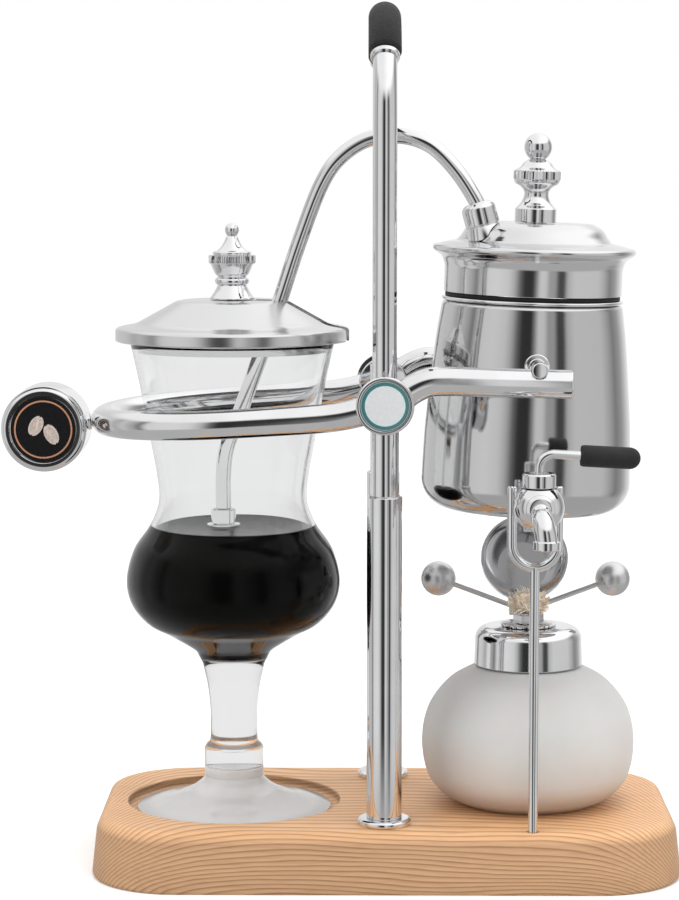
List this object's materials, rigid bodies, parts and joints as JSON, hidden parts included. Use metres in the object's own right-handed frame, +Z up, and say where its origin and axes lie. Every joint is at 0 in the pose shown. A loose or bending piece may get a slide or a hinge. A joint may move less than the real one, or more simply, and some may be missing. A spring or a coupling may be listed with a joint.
{
  "type": "balance siphon coffee brewer",
  "caption": "Table-top balance siphon coffee brewer: kettle with tap over a spirit lamp, hung in a tilting counterweighted beam, with a siphon tube into a lidded brewing glass.",
  "frame": {"origin": "centre of the wood base's underside, midway between the columns", "axes": "+Z up, +X from the glass towards the kettle, -Y towards the tap's spout"},
  "size_m": [0.3023, 0.1727, 0.3842],
  "materials": {
    "wood": "oiled light wood with straight wavy grain",
    "chrome": "polished chrome",
    "steel": "fine brushed stainless steel",
    "rubber": "matt black rubber with a pebbled grain",
    "enamel": "off-white enamel disc with a teal ring",
    "badge": "gloss black disc with a copper ring",
    "seal": "black silicone",
    "clear_glass": "clear borosilicate glass",
    "frosted_glass": "frosted white glass",
    "cotton": "frayed raw cotton",
    "coffee": "black coffee"
  },
  "bodies": {
    "stand": {"wood_base": "wood", "foot_flange_front": "chrome", "foot_flange_rear": "chrome", "column_sleeve_front": "chrome", "column_sleeve_rear": "chrome", "column_tube_front": "chrome", "column_tube_rear": "chrome", "column_bolt_front": "steel", "column_bolt_rear": "steel", "handle_frame": "chrome", "handle_grip": "rubber", "support_fork": "chrome", "pivot_pin_front": "steel", "pivot_pin_rear": "steel", "pivot_cap_front": "chrome", "pivot_cap_rear": "chrome", "pivot_inlay_front": "enamel", "pivot_inlay_rear": "enamel"},
    "beam": {"beam_loop": "chrome", "beam_arm_front": "chrome", "beam_arm_rear": "chrome", "beam_hub_front": "chrome", "beam_hub_rear": "chrome", "weight_drum": "chrome", "weight_badge": "badge"},
    "kettle": {"kettle_bottom": "steel", "kettle_shell": "steel", "trunnion_front": "chrome", "trunnion_rear": "chrome", "kettle_seal": "seal", "lid_collar": "steel", "kettle_lid": "steel", "siphon_tube": "chrome", "siphon_nut": "chrome", "filter_nut": "chrome", "filter": "steel", "tap_neck": "chrome", "catch_bar": "chrome", "tap_body": "chrome", "tap_bonnet": "chrome", "tap_spout": "chrome"},
    "lever": {"tap_lever": "chrome", "lever_grip": "rubber"},
    "stopper": {"filler_stopper": "chrome"},
    "glass": {"glass_foot": "clear_glass", "brewing_glass": "clear_glass", "glass_funnel": "clear_glass"},
    "lid": {"glass_lid": "steel", "glass_lid_knob": "chrome"},
    "lamp": {"lamp_base": "frosted_glass", "lamp_bowl": "frosted_glass", "lamp_shoulder": "frosted_glass", "lamp_cap": "chrome", "wick_holder": "chrome", "wick": "cotton", "hinge_bracket": "chrome"},
    "snuffer": {"snuffer_bell": "chrome", "snuffer_axle": "steel", "snuffer_handle_left": "chrome", "snuffer_handle_right": "chrome"}
  },
  "joints": [
    {"name": "beam_tilt", "type": "hinge", "parent": "stand", "child": "beam", "pos_m": [0, 0, 0.211], "axis": [0, 1, 0], "range_deg": [0, 8]},
    {"name": "kettle_level", "type": "hinge", "parent": "beam", "child": "kettle", "pos_m": [0.0657, 0, 0.2259], "axis": [0, 1, 0], "range_deg": [-8, 0]},
    {"name": "tap_turn", "type": "hinge", "parent": "kettle", "child": "lever", "pos_m": [0.0651, -0.076, 0.18], "axis": [0, 0, -1], "range_deg": [0, 90]},
    {"name": "stopper_lift", "type": "slide", "parent": "kettle", "child": "stopper", "axis": [0.0314, 0, 0.9995], "range_m": [0, 0.03]},
    {"name": "glass_lift", "type": "slide", "parent": "stand", "child": "glass", "axis": [0, 0, 1], "range_m": [0, 0.008]},
    {"name": "glass_lid_lift", "type": "slide", "parent": "glass", "child": "lid", "axis": [0, 0, 1], "range_m": [0, 0.05]},
    {"name": "lamp_slide", "type": "slide", "parent": "stand", "child": "lamp", "axis": [0, 1, 0], "range_m": [0, 0.028]},
    {"name": "snuffer_turn", "type": "hinge", "parent": "lamp", "child": "snuffer", "pos_m": [0.0655, 0.0251, 0.1076], "axis": [1, 0, 0], "range_deg": [0, 112]}
  ],
  "couplings": [
    {"joint": "kettle_level", "follows": "beam_tilt", "ratio": -1}
  ]
}
